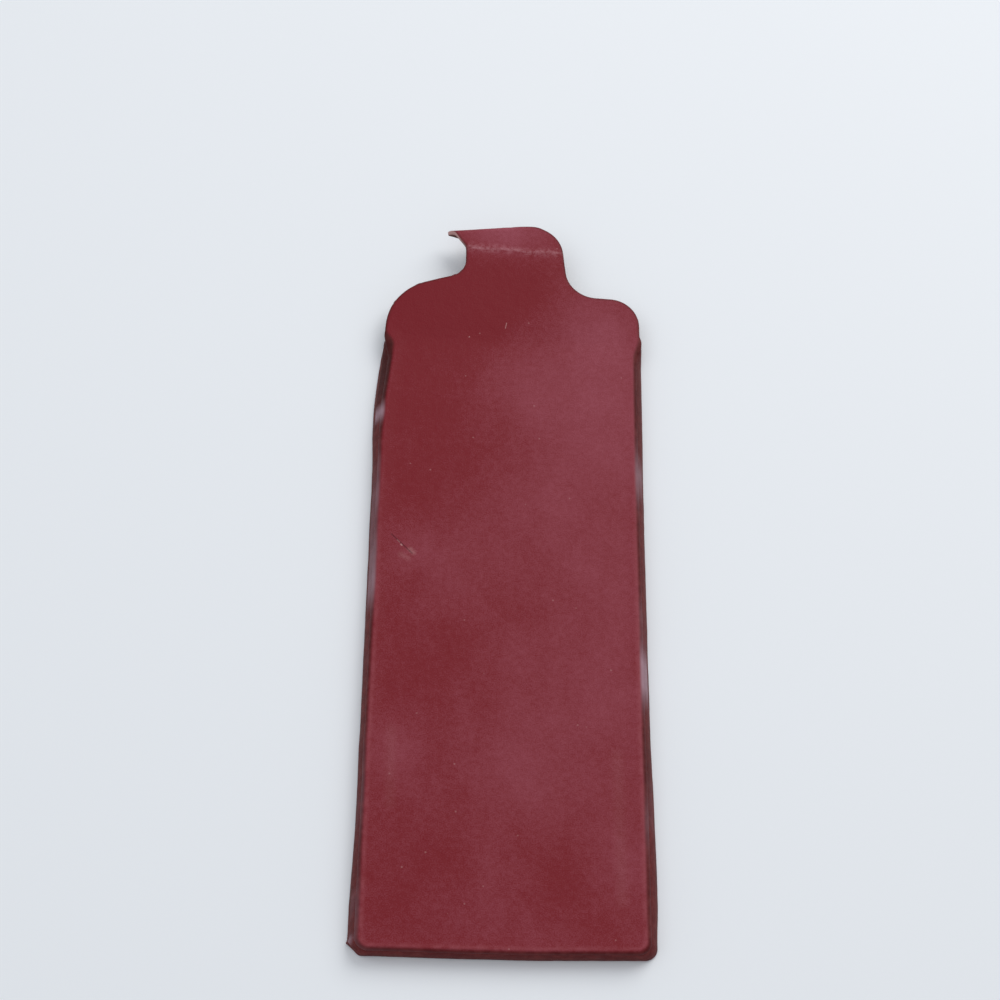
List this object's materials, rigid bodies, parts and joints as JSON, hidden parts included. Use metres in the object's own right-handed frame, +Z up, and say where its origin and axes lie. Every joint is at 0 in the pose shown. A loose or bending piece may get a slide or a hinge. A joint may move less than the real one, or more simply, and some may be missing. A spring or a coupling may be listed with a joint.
{
  "type": "ink knife",
  "caption": "Flat leather slip case with a scalloped flap and a curled tab, holding a thin wide-bladed ink knife with a riveted handle.",
  "frame": {"origin": "centre of the front panel's outer face, which the case lies on", "axes": "+X across the case, +Y along it towards the mouth and the tab, +Z up through the back panel"},
  "size_m": [0.07, 0.2075, 0.0087],
  "materials": {
    "case_leather": "fine-grained burgundy leather, matte, with a pale bloom",
    "burnished_edge": "cut leather edge, rubbed dark and glossy",
    "blade_steel": "ground spring steel, brushed across",
    "handle_wood": "oiled dark hardwood",
    "rivet_brass": "filed flush and handled"
  },
  "bodies": {
    "case": {"front_panel": "case_leather", "back_panel": "case_leather", "welt_left": "burnished_edge", "welt_right": "burnished_edge", "welt_bottom": "burnished_edge"},
    "flap": {"flap": "case_leather"},
    "tab": {"tab": "case_leather"},
    "knife": {"blade": "blade_steel", "scale_top": "handle_wood", "scale_under": "handle_wood", "rivet_butt": "rivet_brass", "rivet_middle": "rivet_brass", "rivet_blade": "rivet_brass"}
  },
  "joints": [
    {"name": "knife_draw", "type": "slide", "parent": "case", "child": "knife", "axis": [0, 1, 0], "range_m": [0, 0.165]},
    {"name": "flap_lift", "type": "hinge", "parent": "case", "child": "flap", "pos_m": [0, 0.085, 0.0046], "axis": [1, 0, 0], "range_deg": [0, 100], "stiffness_Nm_per_rad": 0.02},
    {"name": "tab_unroll", "type": "hinge", "parent": "flap", "child": "tab", "pos_m": [0.0003, 0.11381, 0.00788], "axis": [0.998, -0.0635, -0.0072], "range_deg": [0, 75], "stiffness_Nm_per_rad": 0.003}
  ]
}
